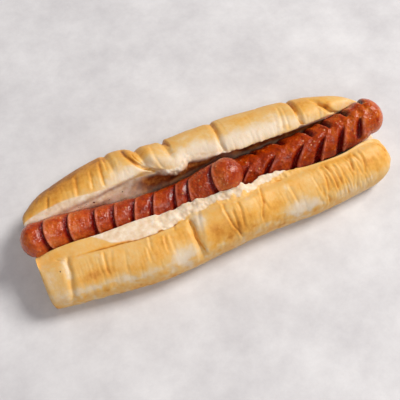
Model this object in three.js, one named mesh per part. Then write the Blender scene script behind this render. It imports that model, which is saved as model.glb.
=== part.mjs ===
// A hot dog: one long soft roll, split along its top and pressed open, with two scored
// frankfurters laid end over end in the split.
// Millimetres. +X runs along the roll, +Y to its back half, +Z up. The roll rests on z = 0.

import * as THREE from 'three';
import { LoftGeometry } from 'three/addons/geometries/LoftGeometry.js';

// Driving dimensions of the roll
const rollStart = -132.5;         // the blunt end
const rollEnd = 134.5;            // the rounded end
const rollStep = 3.2;             // distance between cross-sections
const rollPoints = 42;            // points round one cross-section
const startRounding = 5;          // length over which the blunt end closes
const endRounding = 23;           // length over which the rounded end closes
const startBluntness = 4;         // 2 is an ellipse, more is flatter
const endBluntness = 2;
const capRows = 5;                // cross-sections in each rounded end
const restFlat = 0.35;            // how far the soft underside is pressed flat
const sausageGap = 0.7;           // air between a sausage and the bread
const frontEdgeDrop = 2;          // the front crust's split edge, below its crown
const backEdgeDrop = 3;           // the back crust's split edge, below its crown
const backRimDrop = 7;            // the rim of the back crumb wall, below the crown
const backWallInset = 4;          // the back crumb wall's foot, in from the split edge
const lipInset = 0.5;             // the front crumb, out from the lip line
const lipDrop = 2;                // the front of the channel stays this far under the lip

// The roll's half widths, heights and split edges at stations along it. The lip is where
// the crumb of the front half meets the sausage, and the edge is where its crust begins.
const stations = [-133, -120, -104, -84, -58, -36, -20, -12, -2, 14, 25, 35, 68, 95, 115, 128, 134];
const frontWidth = [
  41, 43.7, 45.5, 48, 50.5, 50, 48.5, 47.7, 46.8, 45.5, 44.9, 44.5, 44.5, 42, 39.5, 38.7, 38,
];
const frontHeight = [27, 29.5, 31, 32, 33, 33, 35, 36, 37, 37.5, 35.9, 34.5, 34, 33, 32, 28.3, 18];
const frontEdge = [12.5, 14.5, 16.5, 20.5, 24, 23, 21, 21, 21.5, 23, 21.2, 19.5, 18.5, 18.5, 15, 16, 24];
const frontLip = [7, 7.8, 8.6, 9.8, 9.8, 11.3, 11.2, 12.5, 13.5, 14.3, 14.2, 11.2, 15.6, 16, 12.3, 11, 15.5];
const lipHeight = [
  26.5, 28.7, 29.6, 29.8, 30, 30, 33.5, 34.5, 36.9, 38.6, 33, 33, 31.2, 31.1, 30.6, 25.5, 15,
];
const backWidth = [
  29, 39, 44.7, 49.6, 52.8, 48.5, 48.6, 48.7, 49.4, 49.6, 49.5, 49.2, 46.7, 42.3, 34.5, 26.5, 21.5,
];
const backHeight = [30, 34, 37.5, 40, 41.5, 42, 41, 40.9, 41, 41.5, 41.8, 42, 42, 41, 38, 31, 25];
const backEdge = [
  14.5, 14.8, 15.7, 16.8, 20, 20.5, 13, 17, 16.6, 12.9, 11.8, 11.5, 11.9, 14.5, 17, 19, 17.5,
];
const channelY = [3.5, 3.5, 2.5, 1.5, 0, -0.7, 0, 0.6, 1.5, 3, 3.3, 3.2, 1.5, 1.5, 3, 4.5, 5.5];
const channelZ = [
  29, 27.5, 25.5, 23.5, 21.5, 20, 18.5, 18, 17.5, 17.3, 17.5, 18, 22, 24.5, 27.5, 30, 31.5,
];
const channelRadius = [11, 11, 11, 12, 13, 13, 13, 13, 13, 13, 13, 13, 13.5, 13.8, 14.3, 14.3, 14.3];

// Folds pinched into the crust. side is 1 on the back half and -1 on the front half; x is
// where the fold meets the split edge, lean how far it slants on its way down, and from and
// to say how much of the way down it runs, 0 at the split edge and 1 at the table.
const folds = [
  { side: 1, x: -39.5, lean: -7, depth: 3.4, halfWidth: 6, from: 0.1, to: 0.75 },
  { side: 1, x: -40, lean: -48, depth: 2.4, halfWidth: 4, from: 0, to: 0.1 },
  { side: 1, x: -21, lean: -1, depth: 2.4, halfWidth: 4, from: 0.25, to: 0.7 },
  { side: 1, x: 14.5, lean: 7, depth: 1.8, halfWidth: 4, from: 0, to: 0.7 },
  { side: 1, x: 76.5, lean: 3, depth: 2.4, halfWidth: 4, from: 0, to: 0.7 },
  { side: 1, x: 103, lean: -35, depth: 2.6, halfWidth: 4, from: 0, to: 0.2 },
  { side: 1, x: -62, lean: -4, depth: 1.6, halfWidth: 4, from: 0.2, to: 0.7 },
  { side: -1, x: -27.3, lean: 3, depth: 2.6, halfWidth: 4.5, from: 0.15, to: 0.45 },
  { side: -1, x: -112, lean: -10, depth: 1.6, halfWidth: 4, from: 0.15, to: 0.6 },
];
const foldFade = 0.15;            // share of the way down over which a fold dies away
const keyCount = 28;              // key points round the roll's cross-section
const tableKey = 7;               // the key point in the middle of the underside

// Driving dimensions of the sausages
const ringPoints = 22;            // points round one ring
const ringStep = 6;               // widest distance between rings
const leanFade = 18;              // length at each tip over which the cuts' lean dies away
const curlFacing = 28;            // the side, from the top to the front, the cuts curl round

// A sausage is given at places along x. lean is how far its cuts run along it on their way
// from the top down the front and the back, and curl how far their ends bend to +X, both as a
// share of the radius. A score is one knife cut: x at the top, the side it faces and how far
// it reaches round from there in degrees from the top to the front, its depth, and how far
// the skin slopes down into it before and after it.

// The sausage at the blunt end, which climbs on to the tip of the other one
const upperSausage = {
  places: [-138.4, -112, -82, -55, -30, -10, 5, 20.5],
  axisY: [2.3, 3.5, 1.5, -0.5, -2.4, -3.2, -3.9, -4.9],
  axisZ: [28.4, 27.5, 24, 22.3, 23.8, 28.8, 35.3, 42.6],
  radius: [12, 10.8, 10.5, 10.4, 10.7, 11.3, 11.8, 12],
  frontLean: [0, 0, 0, -0.28, -0.25, -0.25, -0.12, -0.1],
  backLean: [0, 0, 0, -0.28, -0.25, -0.25, -0.12, -0.1],
  curl: [0.5, 0.42, 0.35, 0.15, 0.1, 0.1, 0.2, 0.25],
  rounding: [10, 12],
  scores: [
    { x: -122.7, facing: 35, reach: 95, depth: 2.8, before: 4, after: 1.1 },
    { x: -106.6, facing: 30, reach: 95, depth: 3, before: 4, after: 1.1 },
    { x: -88.1, facing: 30, reach: 90, depth: 3.1, before: 4, after: 1.1 },
    { x: -74.2, facing: 30, reach: 85, depth: 2.8, before: 4, after: 1.1 },
    { x: -59, facing: 30, reach: 85, depth: 3, before: 4, after: 1.1 },
    { x: -44.8, facing: 30, reach: 85, depth: 2.8, before: 4, after: 1.1 },
    { x: -27.3, facing: 30, reach: 90, depth: 3.1, before: 4, after: 1.1 },
    { x: -16.6, facing: 30, reach: 85, depth: 2.6, before: 4, after: 1.1 },
    { x: 2.1, facing: 30, reach: 90, depth: 3, before: 4, after: 1.1 },
  ],
};

// The sausage that lies in the split under that tip and sticks out at the rounded end
const lowerSausage = {
  places: [6, 25, 50, 80, 105, 137.8],
  axisY: [4, 3.7, 2.7, 1.3, 2.3, 6.8],
  axisZ: [15.7, 16.4, 19.5, 24, 27.5, 33.8],
  radius: [11.6, 11.8, 12.3, 12.8, 13.3, 13.2],
  frontLean: [-0.9, -1.2, -1.15, -0.95, -0.72, -0.45],
  backLean: [0.8, 1, 0.9, 0.5, 0.3, 0],
  curl: [0, 0, 0, 0, 0, 0],
  rounding: [10, 11],
  scores: [
    { x: 34.5, facing: 66, reach: 56, depth: 3.2, before: 5, after: 1.4 },
    { x: 54.4, facing: 66, reach: 56, depth: 3.4, before: 5, after: 1.4 },
    { x: 75.6, facing: 64, reach: 58, depth: 3.6, before: 5.2, after: 1.4 },
    { x: 91.8, facing: 68, reach: 56, depth: 3.6, before: 5, after: 1.4 },
    { x: 106.8, facing: 68, reach: 56, depth: 3.6, before: 5.2, after: 1.4 },
    { x: 120.4, facing: 50, reach: 36, depth: 3, before: 4.8, after: 1.4 },
    { x: 43.6, facing: -60, reach: 42, depth: 3.4, before: 1, after: 5 },
    { x: 62.2, facing: -58, reach: 44, depth: 3.8, before: 1, after: 6 },
    { x: 81.8, facing: -46, reach: 46, depth: 3.8, before: 1, after: 6 },
    { x: 96, facing: -46, reach: 46, depth: 3.4, before: 1, after: 5 },
    { x: 112.2, facing: -54, reach: 44, depth: 3.4, before: 1, after: 5 },
    { x: 126.6, facing: -60, reach: 40, depth: 2.4, before: 1, after: 3 },
  ],
};

// Smooth value at x of a quantity that is given at places in rising order
function along(places, values, x) {
  const last = places.length - 1;
  let i = 0;
  while (i < last - 1 && x > places[i + 1]) i++;
  const slopeAt = (k) => {
    const before = Math.max(k - 1, 0);
    const after = Math.min(k + 1, last);
    return (values[after] - values[before]) / (places[after] - places[before]);
  };
  const length = places[i + 1] - places[i];
  const t = THREE.MathUtils.clamp((x - places[i]) / length, 0, 1);
  const rise = 3 * t ** 2 - 2 * t ** 3;
  const leave = (t ** 3 - 2 * t ** 2 + t) * length * slopeAt(i);
  const arrive = (t ** 3 - t ** 2) * length * slopeAt(i + 1);
  return values[i] * (1 - rise) + values[i + 1] * rise + leave + arrive;
}

// Share of the full size left at a distance from a rounded end
function rounded(distance, length, bluntness = 2) {
  const t = 1 - THREE.MathUtils.clamp(distance / length, 0, 1);
  return (1 - t ** bluntness) ** (1 / bluntness);
}

// Centre, direction and radius of a sausage at x
function sausageAt(sausage, x) {
  const { places, axisY, axisZ, rounding } = sausage;
  const at = (place) => {
    return new THREE.Vector3(place, along(places, axisY, place), along(places, axisZ, place));
  };
  const centre = at(x);
  const forward = at(x + 0.5).sub(at(x - 0.5)).normalize();
  const first = places[0];
  const last = places[places.length - 1];
  const ends = rounded(x - first, rounding[0]) * rounded(last - x, rounding[1]);
  const inside = x >= first && x <= last;
  const radius = inside ? along(places, sausage.radius, x) * ends : 0;
  return { centre, forward, radius };
}

// How far the knife cuts draw the skin in on the ring at x, at an angle from the top
function scoreDepth(sausage, x, angle) {
  let depth = 0;
  for (const score of sausage.scores) {
    const off = x - score.x;
    const opening = 1 - Math.abs(off) / (off < 0 ? score.before : score.after);
    const turn = THREE.MathUtils.radToDeg(angle) - score.facing;
    const round = Math.abs(THREE.MathUtils.euclideanModulo(turn + 180, 360) - 180) / score.reach;
    if (opening > 0 && round < 1) depth = Math.max(depth, score.depth * opening * (1 - round ** 3));
  }
  return depth;
}

// A ring through the cuts: it starts at x on top and leans along the sausage on the sides
function sausageRing(sausage, x) {
  const { places } = sausage;
  const last = places[places.length - 1];
  const lean = THREE.MathUtils.clamp(Math.min(x - places[0], last - x) / leanFade, 0, 1);
  const topRadius = sausageAt(sausage, x).radius;
  const ring = [];
  for (let k = 0; k < ringPoints; k++) {
    const angle = (k / ringPoints) * Math.PI * 2;
    const side = Math.sin(angle) >= 0 ? sausage.frontLean : sausage.backLean;
    const curled = 1 - Math.max(Math.cos(angle - THREE.MathUtils.degToRad(curlFacing)), 0);
    const run = along(places, side, x) * Math.sin(angle) + along(places, sausage.curl, x) * curled;
    const shift = lean * topRadius * run;
    const { centre, forward, radius } = sausageAt(sausage, x + shift);
    const across = new THREE.Vector3(0, 0, 1).cross(forward).normalize();
    const up = new THREE.Vector3().crossVectors(forward, across);
    const reach = Math.max(radius - scoreDepth(sausage, x, angle), 0);
    const point = centre.clone();
    point.addScaledVector(up, reach * Math.cos(angle));
    point.addScaledVector(across, -reach * Math.sin(angle));
    ring.push(point);
  }
  return ring;
}

// Where the rings go: close together on the tips and at each cut, wider between
function ringPlaces(sausage) {
  const first = sausage.places[0];
  const last = sausage.places[sausage.places.length - 1];
  const marks = [];
  for (const share of [0, 0.06, 0.22, 0.5, 0.8]) {
    marks.push(first + share * sausage.rounding[0]);
    marks.push(last - share * sausage.rounding[1]);
  }
  for (const score of sausage.scores) {
    marks.push(score.x - score.before, score.x, score.x + score.after);
  }
  marks.sort((a, b) => a - b);
  const filled = [first];
  for (const mark of marks.slice(1)) {
    const from = filled[filled.length - 1];
    const steps = Math.ceil((mark - from) / ringStep);
    for (let k = 1; k <= steps; k++) filled.push(from + ((mark - from) * k) / steps);
  }
  return filled;
}

function sausageMesh(name, sausage, color) {
  const rings = ringPlaces(sausage).map((x) => sausageRing(sausage, x));
  const material = new THREE.MeshStandardMaterial({ color, roughness: 0.38, metalness: 0 });
  const mesh = new THREE.Mesh(new LoftGeometry(rings), material);
  mesh.name = name;
  return mesh;
}

// Outside of one half of the roll as [y, z], in shares of its half width and height: the
// crown, the shoulder, the widest part of the side, and its way in under the bread
function shellKeys(side, width, height, edge) {
  return [
    [side * (edge + 0.28 * (width - edge)), height],
    [side * (edge + 0.68 * (width - edge)), 0.88 * height],
    [side * 0.975 * width, 0.62 * height],
    [side * 0.985 * width, 0.27 * height],
    [side * 0.86 * width, 0.7],
    [side * 0.45 * width, 0],
  ];
}

// Closed outline of the roll's cross-section at x: from the front split edge down the
// outside, under the bread, up the back half, and back through the channel. Point k lies on
// one face of the bread, and point keyCount - k lies opposite it on the other face.
function sectionCurve(x) {
  const at = (values) => along(stations, values, x);
  const edgeFront = at(frontEdge);
  const edgeBack = at(backEdge);
  const topFront = at(frontHeight);
  const topBack = at(backHeight);
  const centreY = at(channelY);
  const centreZ = at(channelZ);
  const radius = at(channelRadius);
  const lipZ = at(lipHeight);
  const channel = (degrees) => {
    const angle = THREE.MathUtils.degToRad(degrees);
    const z = centreZ - radius * Math.cos(angle);
    return [centreY + radius * Math.sin(angle), degrees < 0 ? Math.min(z, lipZ - lipDrop) : z];
  };
  const wallY = Math.max(edgeBack - backWallInset, centreY + radius);
  const rimBack = topBack - backRimDrop;
  const lipY = -at(frontLip) - lipInset;
  const keys = [
    [-edgeFront, topFront - frontEdgeDrop],
    ...shellKeys(-1, at(frontWidth), topFront, edgeFront),
    [0, 0],
    ...shellKeys(1, at(backWidth), topBack, edgeBack).reverse(),
    [edgeBack, topBack - backEdgeDrop],
    [Math.max(edgeBack - backWallInset / 2, centreY + radius - 1), rimBack],
    [wallY, (rimBack + centreZ) / 2 + 1],
    ...[80, 58, 36, 16, 0, -16, -36, -58, -80].map(channel),
    [lipY, Math.min((lipZ + centreZ) / 2 + 1, lipZ - lipDrop / 2)],
    [lipY, lipZ],
  ];
  const points = keys.map(([y, z]) => new THREE.Vector3(x, y, z));
  return new THREE.CatmullRomCurve3(points, true, 'catmullrom', 0.5);
}

// How deep the folds are at x, at a place round the cross-section counted in key points
function foldDepth(x, place) {
  const back = place > tableKey;
  const down = (back ? 2 * tableKey - place : place) / (tableKey - 1);
  let depth = 0;
  for (const fold of folds) {
    if ((fold.side === 1) !== back) continue;
    const start = THREE.MathUtils.smoothstep(down, fold.from - foldFade, fold.from);
    const stop = THREE.MathUtils.smoothstep(down, fold.to, fold.to + foldFade);
    const off = Math.min(Math.abs(x - fold.x - fold.lean * down) / fold.halfWidth, 1);
    depth += fold.depth * start * (1 - stop) * (1 - off) ** 1.5;
  }
  return depth;
}

// Move a point of the bread straight away from a sausage that it would touch
function keepClear(point, sausage) {
  const level = sausageAt(sausage, point.x);
  const offset = point.clone().sub(level.centre);
  const ahead = offset.dot(level.forward);
  const { radius } = sausageAt(sausage, point.x + ahead * level.forward.x);
  const distance = offset.clone().addScaledVector(level.forward, -ahead).length();
  const wanted = radius + sausageGap;
  if (radius > 0 && distance < wanted) {
    point.copy(level.centre).addScaledVector(offset, wanted / distance);
  }
}

function rollSection(x) {
  const curve = sectionCurve(x);
  const surfacePoint = (share) => {
    const tangent = curve.getTangent(share);
    const inward = new THREE.Vector3(0, -tangent.z, tangent.y);
    return curve.getPoint(share).addScaledVector(inward, foldDepth(x, share * keyCount));
  };
  const start = rounded(x - rollStart, startRounding, startBluntness);
  const end = rounded(rollEnd - x, endRounding, endBluntness);
  const section = [];
  for (let k = 0; k < rollPoints; k++) {
    const point = surfacePoint(k / rollPoints);
    const middle = surfacePoint(1 - k / rollPoints).add(point).multiplyScalar(0.5);
    point.lerpVectors(middle, point, start * end);
    keepClear(point, upperSausage);
    keepClear(point, lowerSausage);
    point.z = Math.max(point.z - restFlat, 0);
    section.push(point);
  }
  return section;
}

function rollMesh() {
  const places = [];
  for (let k = 0; k < capRows; k++) {
    const share = 1 - Math.cos((k / capRows) * (Math.PI / 2));
    places.push(rollStart + share * startRounding);
    places.push(rollEnd - share * endRounding);
  }
  const from = rollStart + startRounding;
  const to = rollEnd - endRounding;
  const steps = Math.round((to - from) / rollStep);
  for (let k = 0; k <= steps; k++) places.push(from + ((to - from) * k) / steps);
  places.sort((a, b) => a - b);
  const material = new THREE.MeshStandardMaterial({ color: '#ddb071', roughness: 0.72, metalness: 0 });
  const mesh = new THREE.Mesh(new LoftGeometry(places.map(rollSection)), material);
  mesh.name = 'roll';
  return mesh;
}

const hotDog = new THREE.Group();
hotDog.add(rollMesh());
hotDog.add(sausageMesh('sausage_upper', upperSausage, '#ad4a28'));
hotDog.add(sausageMesh('sausage_lower', lowerSausage, '#96401f'));

export default hotDog;
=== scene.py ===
import math

import bmesh
import bpy
import numpy as np
from mathutils import Matrix


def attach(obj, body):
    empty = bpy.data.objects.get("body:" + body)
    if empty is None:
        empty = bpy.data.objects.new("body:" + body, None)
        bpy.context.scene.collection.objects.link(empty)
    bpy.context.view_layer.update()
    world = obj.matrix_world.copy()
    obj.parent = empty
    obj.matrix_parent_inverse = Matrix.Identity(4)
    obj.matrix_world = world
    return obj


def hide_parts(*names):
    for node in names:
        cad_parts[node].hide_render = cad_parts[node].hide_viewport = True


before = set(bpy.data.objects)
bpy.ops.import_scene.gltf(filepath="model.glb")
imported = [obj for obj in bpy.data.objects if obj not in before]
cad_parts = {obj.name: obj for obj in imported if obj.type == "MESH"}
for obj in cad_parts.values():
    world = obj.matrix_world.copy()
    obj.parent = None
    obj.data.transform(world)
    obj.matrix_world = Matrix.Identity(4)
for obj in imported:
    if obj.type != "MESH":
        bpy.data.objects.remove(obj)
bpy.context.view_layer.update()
mm = 0.001
weldGap = 0.004 * mm  # points nearer to each other than this become one
sliver = 0.001 * mm   # edges shorter than this go


def smooth(t):
    t = np.clip(t, 0, 1)
    return t * t * (3 - 2 * t)


def stretch(x, start, fadeIn, end, fadeOut):
    # 1 from start to end, fading in after start and out after end
    return smooth((x - start) / fadeIn) * (1 - smooth((x - end) / fadeOut))


def along(places, values, x):
    # smooth value at x of something that is given at places in rising order
    p = np.array(places, float)
    v = np.array(values, float)
    k = np.arange(len(p))
    before = np.maximum(k - 1, 0)
    after = np.minimum(k + 1, len(p) - 1)
    slope = (v[after] - v[before]) / (p[after] - p[before])
    i = np.searchsorted(p[1:-1], x)
    length = p[i + 1] - p[i]
    t = np.clip((x - p[i]) / length, 0, 1)
    rise = 3 * t**2 - 2 * t**3
    leave = (t**3 - 2 * t**2 + t) * length * slope[i]
    arrive = (t**3 - t**2) * length * slope[i + 1]
    return v[i] * (1 - rise) + v[i + 1] * rise + leave + arrive


def rounded(distance, length, bluntness=2):
    # share of the full size left at a distance from a rounded end
    t = 1 - np.clip(distance / length, 0, 1)
    return (1 - t**bluntness) ** (1 / bluntness)


def lumps(points, size, seed):
    # soft random field between -1 and 1, its lumps about this many mm apart
    tableSize = 4096
    bigPrimes = np.array([73856093, 19349663, 83492791])
    table = np.random.default_rng(seed).uniform(-1, 1, tableSize)
    q = points / np.array(size, float)
    cell = np.floor(q).astype(np.int64)
    f = smooth(q - cell)
    total = 0
    for corner in range(8):
        step = np.array([corner & 1, corner >> 1 & 1, corner >> 2 & 1])
        key = ((cell + step) * bigPrimes).sum(-1)
        weight = np.where(step, f, 1 - f).prod(-1)
        total = total + table[(key ^ key >> 13) & (tableSize - 1)] * weight
    return total


def roughLumps(points, size, seed):
    # the same with smaller lumps on the large ones
    size = np.array(size, float)
    large = lumps(points, size, seed)
    middling = lumps(points, size / 2, seed + 1)
    small = lumps(points, size / 4, seed + 2)
    return (large + 0.5 * middling + 0.25 * small) / 1.4


def outward(points):
    # unit normals of a skin given as points[column, row]
    columnWay = np.gradient(points, axis=0)
    rowWay = np.roll(points, -1, 1) - np.roll(points, 1, 1)
    rowWay[:, 0] = rowWay[:, -1] = points[:, 1] - points[:, -2]
    normal = np.cross(rowWay, columnWay)
    return normal / np.maximum(np.linalg.norm(normal, axis=-1, keepdims=True), 1e-9)


def closedSkin(name, points, fields):
    # a grid laid along and round the piece: its last row meets its first, and its ends close up
    columns, rows = points.shape[:2]
    bm = bmesh.new()
    bmesh.ops.create_grid(bm, x_segments=columns - 1, y_segments=rows - 1, size=1)
    mesh = bpy.data.meshes.new(name)
    bm.to_mesh(mesh)
    bm.free()
    flat = np.empty(len(mesh.vertices) * 3, np.float32)
    mesh.vertices.foreach_get("co", flat)
    flat = flat.reshape(-1, 3)
    i = np.rint((flat[:, 0] + 1) / 2 * (columns - 1)).astype(int)
    j = np.rint((flat[:, 1] + 1) / 2 * (rows - 1)).astype(int)
    mesh.vertices.foreach_set("co", (points[i, j] * mm).astype(np.float32).ravel())
    for field, values in fields.items():
        layer = mesh.attributes.new(field, "FLOAT", "POINT")
        layer.data.foreach_set("value", values[i, j].astype(np.float32))
    bm = bmesh.new()
    bm.from_mesh(mesh)
    bmesh.ops.remove_doubles(bm, verts=bm.verts, dist=weldGap)
    bmesh.ops.dissolve_degenerate(bm, edges=bm.edges, dist=sliver)
    if bm.calc_volume(signed=True) < 0:
        bmesh.ops.reverse_faces(bm, faces=bm.faces)
    for face in bm.faces:
        face.smooth = True
    bm.to_mesh(mesh)
    bm.free()
    piece = bpy.data.objects.new(name, mesh)
    bpy.context.scene.collection.objects.link(piece)
    return piece


def spread(start, end, step, startCap, endCap, capColumns):
    # places along a piece, drawn closer together on its rounded ends
    share = 1 - np.cos(np.linspace(0, 1, capColumns, endpoint=False) * math.pi / 2)
    steps = round((end - endCap - start - startCap) / step)
    middle = np.linspace(start + startCap, end - endCap, steps + 1)
    return np.concatenate([start + share * startCap, middle, (end - share * endCap)[::-1]])


# What both sausages share, in mm unless a note says otherwise, as all sizes are here
sausageGrid = {
    "step": 0.36,
    "capColumns": 26,
    "leanFade": 18,   # mm from each end over which the rings start to lean
    "curlFrom": 28,   # degrees from the top to the front, where a ring doesn't curl
    "rimGap": 0.5,    # mm from a cut's steep side to the crest of its rim
}

# Each ring of a sausage leans along it at the front and at the back, and curls ahead on the side
# away from curlFrom, by these shares of its radius, so that the cuts slant and bend with it.
# A score is one knife cut: where it is on top, the side it faces in degrees from the top to
# the front, how far it reaches round from there, its depth, and how many mm the skin slopes
# down into it before and after it.
upperSausage = {
    "places": [-138.4, -112, -82, -55, -30, -10, 5, 20.5],
    "axisY": [2.3, 3.5, 1.5, -0.5, -2.4, -3.2, -3.9, -4.9],
    "axisZ": [28.4, 27.5, 24, 22.3, 23.8, 28.8, 35.3, 42.6],
    "radius": [12, 10.8, 10.5, 10.4, 10.7, 11.3, 11.8, 12],
    "frontLean": [0, 0, 0, -0.28, -0.25, -0.25, -0.12, -0.1],
    "backLean": [0, 0, 0, -0.28, -0.25, -0.25, -0.12, -0.1],
    "curl": [0.5, 0.42, 0.35, 0.15, 0.1, 0.1, 0.2, 0.25],
    "rounding": [10, 12],
    "scores": [
        (-122.7, 35, 95, 2.8, 4, 1.1), (-106.6, 30, 95, 3, 4, 1.1), (-88.1, 30, 90, 3.1, 4, 1.1),
        (-74.2, 30, 85, 2.8, 4, 1.1), (-59, 30, 85, 3, 4, 1.1), (-44.8, 30, 85, 2.8, 4, 1.1),
        (-27.3, 30, 90, 3.1, 4, 1.1), (-16.6, 30, 85, 2.6, 4, 1.1), (2.1, 30, 90, 3, 4, 1.1),
    ],
    "pale": [0.56, 0.64, 0.49, 0.45, 0.43, 0.47, 0.62, 0.54],
    "segmentHighlight": 0.36,     # how much paler, a painted highlight, the skin is just after each cut, fading to browner before the next
    "cutDepth": 0.78,   # share of each score's depth that the skin takes
    "lip": 0.35,        # how far the steep side's rim stands up
    "bulge": 0.5,       # how far the skin swells between two cuts
    "lumpiness": 0.3,
    "rows": 124,
    "seed": 101,
    "burntSpot": (-136.5, -4, 24.5),
    "burntArea": 14,    # mm2 round that spot
    "material": "fried_frankfurter_casing",
    "casing": [(0, "#5c1200"), (0.3, "#962a02"), (0.55, "#b84406"), (0.8, "#d0641c"), (1, "#e29050")],
    "shine": 0.38,
    "rimHighlight": 0.5,     # how strongly a pale pink painted highlight is laid along the rims
}
lowerSausage = {
    "places": [6, 25, 50, 80, 105, 137.8],
    "axisY": [4, 3.7, 2.7, 1.3, 2.3, 6.8],
    "axisZ": [15.7, 16.4, 19.5, 24, 27.5, 33.8],
    "radius": [11.6, 11.8, 12.3, 12.8, 13.3, 13.2],
    "frontLean": [-0.9, -1.2, -1.15, -0.95, -0.72, -0.45],
    "backLean": [0.8, 1, 0.9, 0.5, 0.3, 0],
    "curl": [0, 0, 0, 0, 0, 0],
    "rounding": [10, 11],
    "scores": [
        (34.5, 66, 56, 3.2, 5, 1.4), (54.4, 66, 56, 3.4, 5, 1.4), (75.6, 64, 58, 3.6, 5.2, 1.4),
        (91.8, 68, 56, 3.6, 5, 1.4), (106.8, 68, 56, 3.6, 5.2, 1.4), (120.4, 50, 36, 3, 4.8, 1.4),
        (43.6, -60, 42, 3.4, 1, 5), (62.2, -58, 44, 3.8, 1, 6), (81.8, -46, 46, 3.8, 1, 6),
        (96, -46, 46, 3.4, 1, 5), (112.2, -54, 44, 3.4, 1, 5), (126.6, -60, 40, 2.4, 1, 3),
    ],
    "pale": [0.36, 0.36, 0.42, 0.45, 0.52, 0.68],
    "segmentHighlight": 0,
    "cutDepth": 1,
    "lip": 0.4,
    "bulge": 0.5,
    "lumpiness": 0.45,
    "rows": 132,
    "seed": 202,
    "material": "browned_frankfurter_casing",
    "casing": [(0, "#521000"), (0.25, "#8c2600"), (0.5, "#b03c00"), (0.75, "#cc6004"), (1, "#e89a3c")],
    "shine": 0.24,
    "rimHighlight": 0.4,
}


def sausageAt(sausage, x):
    # centre, direction and radius of a sausage at x
    places = sausage["places"]
    first, last = places[0], places[-1]

    def at(place):
        y = along(places, sausage["axisY"], place)
        z = along(places, sausage["axisZ"], place)
        return np.stack([place, y, z], -1)

    forward = at(x + 0.5) - at(x - 0.5)
    forward /= np.linalg.norm(forward, axis=-1, keepdims=True)
    ends = rounded(x - first, sausage["rounding"][0]) * rounded(last - x, sausage["rounding"][1])
    radius = np.where((x >= first) & (x <= last), along(places, sausage["radius"], x) * ends, 0)
    return at(x), forward, radius


def scoreFields(sausage, x, angle):
    # how deep the cuts draw the skin in, how far their rims stand up, and how charred they are, with painted
    # shade in the slits and in the hollows after the back cuts
    depth = np.zeros(np.broadcast(x, angle).shape)
    rim = depth.copy()
    char = depth.copy()
    for place, facing, reach, deep, before, after in sausage["scores"]:
        turn = np.abs((np.degrees(angle) - facing + 180) % 360 - 180) / reach
        down = sausage["cutDepth"] * deep * (1 - np.minimum(turn, 1) ** 3)
        s = x - place
        sloping = np.where(s < 0, -s / before, s / after)
        gentle = (s < 0) == (before > after)
        opening = np.where(gentle, (1 - np.clip(sloping, 0, 1)) ** 1.4, 1 - smooth(sloping))
        depth = np.maximum(depth, down * opening)
        gap = sausageGrid["rimGap"]
        crest = place + after + gap if before > after else place - before - gap
        fullness = 0.3 + 0.7 * np.exp(-(((turn - 0.4) / 0.3) ** 2))  # a rim is highest part way round
        rise = np.exp(-((x - crest) ** 2)) * np.clip(down / 2, 0, 1) * fullness
        if facing > 0:
            # painted shade along the slit at the foot of the steep side
            slitCharAndShade = 0.4 * np.exp(-(((s + 0.3) / 0.7) ** 2))
        else:
            # a cut on the back has a lower rim, a slit that is charred and darkened with painted shade, and
            # painted shade in the hollow after it
            rise = 0.4 * rise
            slitCharAndShade = 0.9 * np.exp(-(((s - 0.1) / 0.9) ** 2)) + 0.45 * stretch(s, -1, 1, 1, 4)
        rim = np.maximum(rim, sausage["lip"] * rise)
        char = np.maximum(char, slitCharAndShade.clip(0, 0.95) * np.clip(2.2 - 2.2 * turn, 0, 1))
    return depth, rim, char


def sausageSkin(sausage):
    # the skin as points[column, row], and what the material reads from it
    places = sausage["places"]
    first, last = places[0], places[-1]
    x = spread(first, last, sausageGrid["step"], *sausage["rounding"], sausageGrid["capColumns"])[:, None]
    angle = np.linspace(0, math.tau, sausage["rows"] + 1)[None, :]
    topRadius = sausageAt(sausage, x)[2]
    leanEnds = np.clip(np.minimum(x - first, last - x) / sausageGrid["leanFade"], 0, 1)
    frontLean = along(places, sausage["frontLean"], x)
    backLean = along(places, sausage["backLean"], x)
    curled = 1 - np.maximum(np.cos(angle - math.radians(sausageGrid["curlFrom"])), 0)
    run = np.where(np.sin(angle) >= 0, frontLean, backLean) * np.sin(angle)
    run = run + along(places, sausage["curl"], x) * curled
    centre, forward, radius = sausageAt(sausage, x + leanEnds * topRadius * run)
    across = np.cross([0, 0, 1], forward)
    across /= np.linalg.norm(across, axis=-1, keepdims=True)
    up = np.cross(forward, across)
    depth, rim, char = scoreFields(sausage, x, angle)
    ring = up * np.cos(angle)[..., None] - across * np.sin(angle)[..., None]
    skin = centre + ring * radius[..., None]
    marks = np.sort([first, last] + [score[0] for score in sausage["scores"]])
    segment = np.clip(np.searchsorted(marks, x), 1, len(marks) - 1)
    within = (x - marks[segment - 1]) / (marks[segment] - marks[segment - 1])
    bulge = sausage["bulge"] * np.sin(math.pi * within) ** 2
    seed = sausage["seed"]
    lumpy = roughLumps(skin, 6, seed) + 0.5 * lumps(skin, 2.6, seed + 5) + 0.2 * lumps(skin, 1.3, seed + 6)
    relief = bulge + sausage["lumpiness"] * lumpy
    reach = radius - depth + (rim + relief) * np.clip(radius / 6, 0, 1)
    skin = centre + ring * np.maximum(reach, 0)[..., None]
    if "burntSpot" in sausage:
        # it is charred at one spot, and its cuts get neither char nor painted shade
        away = ((skin - np.array(sausage["burntSpot"])) ** 2).sum(-1)
        char = np.exp(-away / sausage["burntArea"])
    # each segment is painted paler just after its cut, a painted highlight, and browner towards the next cut
    pale = along(places, sausage["pale"], x) + sausage["segmentHighlight"] * (0.5 - within)
    fields = {
        "cut": np.clip(depth / 3, 0, 1),
        "rim": np.clip(rim / 0.4, 0, 1),
        "char": char,
        "pale": np.broadcast_to(pale, depth.shape),
    }
    return skin, fields


# Places round a cross-section of the roll count its key points: 0 at the front split edge, 7
# in the middle of the underside, 14 at the back split edge, then through the channel, with its
# front half from 21 on, to 28 at the front edge again
underPlace = 7
backPlace = 14
channelPlace = 21
lastPlace = 28

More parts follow.
